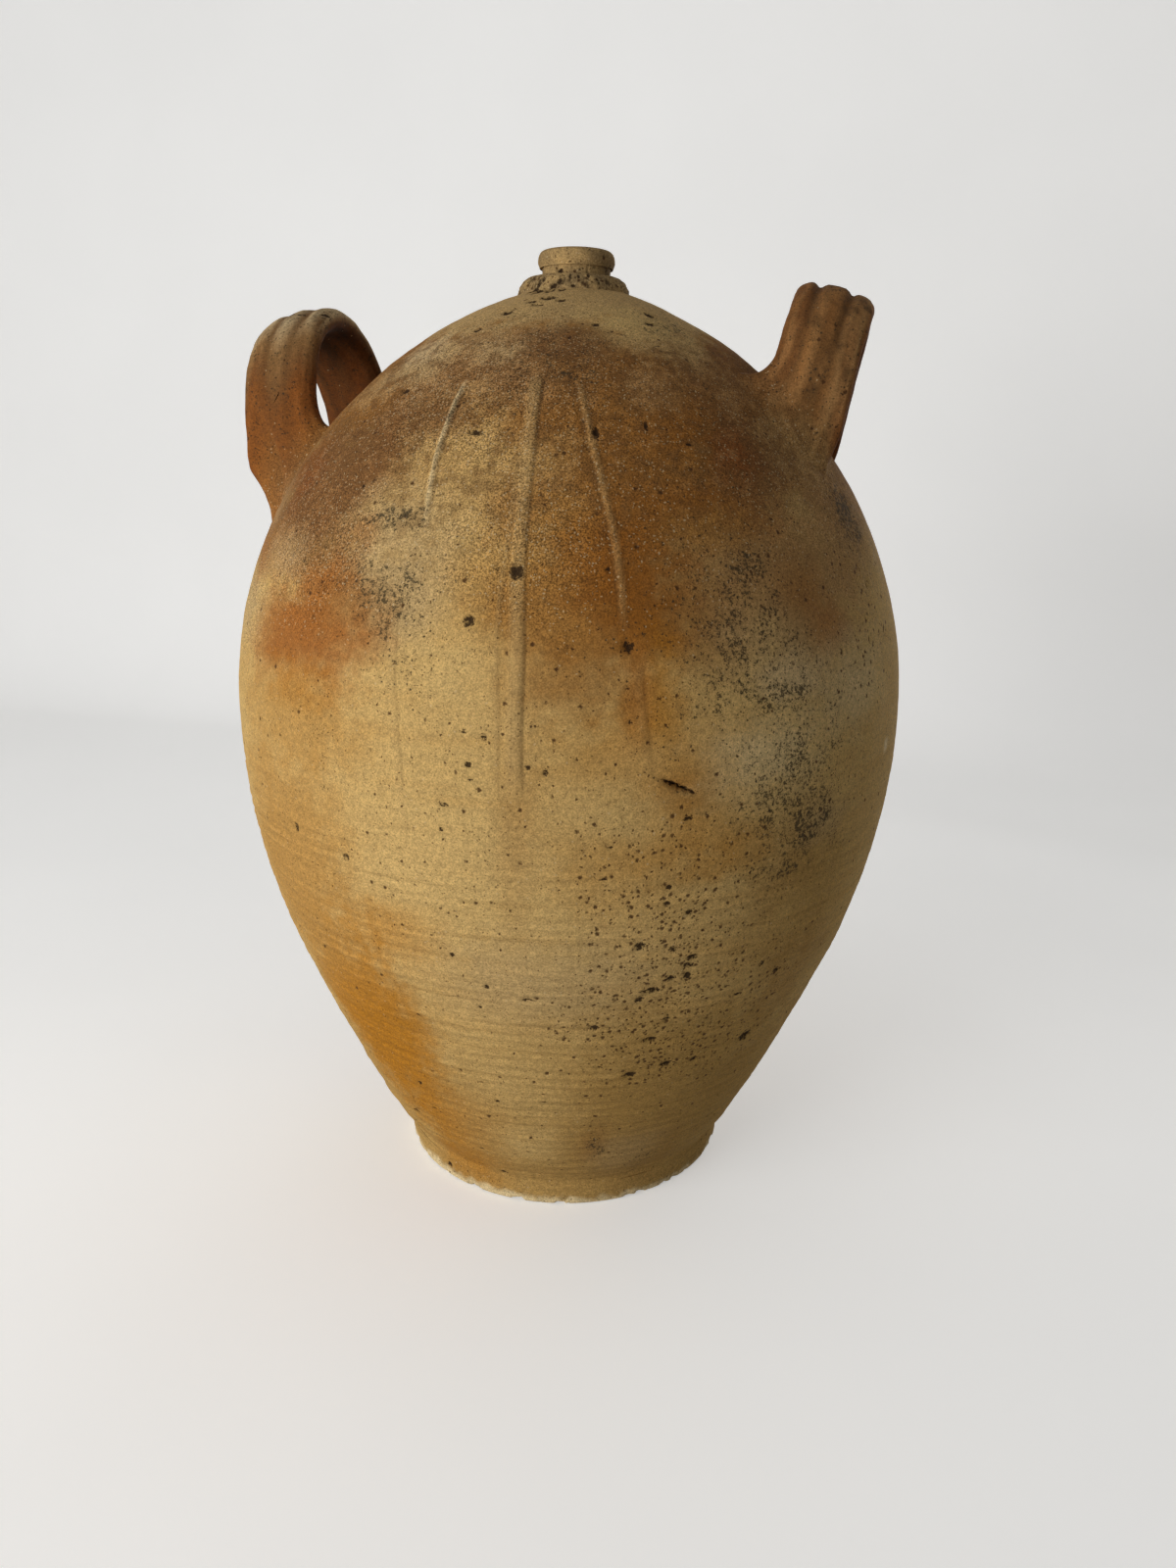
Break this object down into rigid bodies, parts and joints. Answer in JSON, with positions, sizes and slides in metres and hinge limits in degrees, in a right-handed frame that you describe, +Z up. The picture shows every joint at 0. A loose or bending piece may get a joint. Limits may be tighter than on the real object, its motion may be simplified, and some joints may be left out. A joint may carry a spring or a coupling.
{
  "type": "olive jar",
  "caption": "Bulbous earthenware oil or olive jar with a narrow lipped neck, strap handles on the shoulder and a small flat foot.",
  "frame": {"origin": "centre of the foot, on the floor", "axes": "+Z up along the jar's axis, +X towards the right-hand handle, -Y the front"},
  "size_m": [0.362, 0.362, 0.5],
  "materials": {
    "body_clay": "unglazed, weathered",
    "neck_clay": "unglazed, weathered",
    "handle_clay": "unglazed, weathered"
  },
  "bodies": {
    "root": {"base_disc": "body_clay", "lower_wall": "body_clay", "upper_wall": "body_clay", "neck": "neck_clay", "neck_collar": "neck_clay", "lip_ring": "neck_clay", "left_handle": "handle_clay", "left_handle_front_wad": "handle_clay", "left_handle_back_wad": "handle_clay", "right_handle": "handle_clay", "right_handle_front_wad": "handle_clay", "right_handle_back_wad": "handle_clay"}
  },
  "joints": []
}
